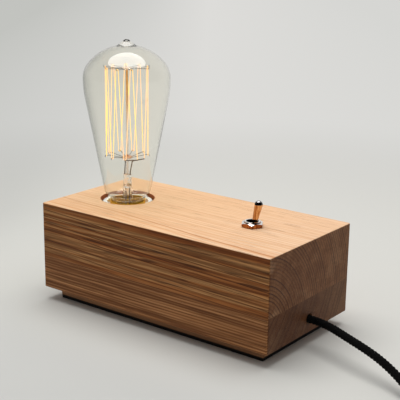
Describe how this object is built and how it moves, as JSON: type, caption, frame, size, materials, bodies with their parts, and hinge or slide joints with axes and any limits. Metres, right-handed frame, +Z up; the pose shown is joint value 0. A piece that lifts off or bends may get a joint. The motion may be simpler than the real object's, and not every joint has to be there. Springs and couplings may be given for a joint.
{
  "type": "bare bulb table lamp",
  "caption": "Bare bulb table lamp: glued wooden block on an inset plinth, squirrel-cage filament bulb in a sunk porcelain holder, bat toggle switch, braided cord with plug.",
  "frame": {"origin": "on the table, under the middle of the block", "axes": "+X along the block to the end where the cord leaves, +Y to the back, +Z up"},
  "size_m": [0.4055, 0.1311, 0.1923],
  "materials": {
    "ash_block": "oiled, open grain",
    "dark_plinth": "stained dark, matt",
    "black_felt": "felted",
    "steel": "zinc plated",
    "porcelain": "glazed white",
    "brass": "drawn, bright",
    "clear_glass": "clear, thin, polished",
    "stem_glass": "clear lead glass",
    "black_glass": "fused black glass",
    "solder": "dull tin",
    "glowing_carbon": "glowing when lit",
    "nickel_wire": "dull nickel and molybdenum",
    "nickel": "nickel plated, bright",
    "phenolic": "moulded, black",
    "white_plastic": "moulded nylon",
    "brown_insulation": "extruded",
    "blue_insulation": "extruded",
    "black_braid": "braided textile over flex",
    "black_plastic": "moulded, satin",
    "black_rubber": "moulded"
  },
  "bodies": {
    "base": {"felt_pad": "black_felt", "base_plate": "dark_plinth", "base_screws": "steel", "lower_board": "ash_block", "upper_board": "ash_block", "lampholder_body": "porcelain", "screw_shell": "brass", "centre_contact": "brass", "shell_contact": "brass", "terminal_blocks": "brass", "terminal_screws": "steel", "holder_bracket": "steel", "bracket_screws": "steel", "nipple": "steel", "nipple_washer": "steel", "nipple_nut": "steel", "nipple_bush": "white_plastic", "switch_body": "phenolic", "switch_frame": "nickel", "switch_nut": "nickel", "switch_washer": "steel", "lever_pin": "steel", "rocker_pin": "steel", "centre_terminal": "brass", "side_terminal": "brass", "cord_tail": "black_braid", "clamp_base": "white_plastic", "clamp_bar": "white_plastic", "clamp_screws": "steel", "live_wire": "brown_insulation", "neutral_wire": "blue_insulation", "switched_wire": "brown_insulation", "cord_free": "black_braid", "cord_coil": "black_braid", "plug_base": "black_plastic", "plug_cover": "black_plastic", "plug_pins": "nickel", "plug_pin_sleeves": "black_plastic", "plug_screw": "steel", "plug_sleeve": "black_rubber"},
    "bulb_carrier": {"cap_contact": "solder"},
    "bulb": {"bulb_glass": "clear_glass", "bulb_cap": "brass", "cap_insulator": "black_glass", "glass_stem": "stem_glass", "arbor_rod": "stem_glass", "lead_wires": "nickel_wire", "upper_hooks": "nickel_wire", "lower_hooks": "nickel_wire", "filament": "glowing_carbon"},
    "toggle": {"toggle_lever": "nickel", "lever_plunger": "white_plastic", "plunger_spring": "steel"},
    "rocker": {"contact_rocker": "brass"}
  },
  "joints": [
    {"name": "bulb_lift", "type": "slide", "parent": "base", "child": "bulb_carrier", "axis": [0, 0, 1], "range_m": [0, 0.01634]},
    {"name": "bulb_turn", "type": "hinge", "parent": "bulb_carrier", "child": "bulb", "pos_m": [-0.061, 0, 0.0745], "axis": [0, 0, 1], "range_deg": [0, 1620]},
    {"name": "toggle_swing", "type": "hinge", "parent": "base", "child": "toggle", "pos_m": [0.052, 0, 0.0695], "axis": [0, 1, 0], "range_deg": [-25, 0]},
    {"name": "rocker_tip", "type": "hinge", "parent": "base", "child": "rocker", "pos_m": [0.052, 0, 0.0558], "axis": [0, 1, 0], "range_deg": [0, 16.01]}
  ],
  "couplings": [
    {"joint": "bulb_lift", "follows": "bulb_turn", "m_per_rad": 0.00057757},
    {"joint": "rocker_tip", "follows": "toggle_swing", "ratio": -0.64}
  ]
}
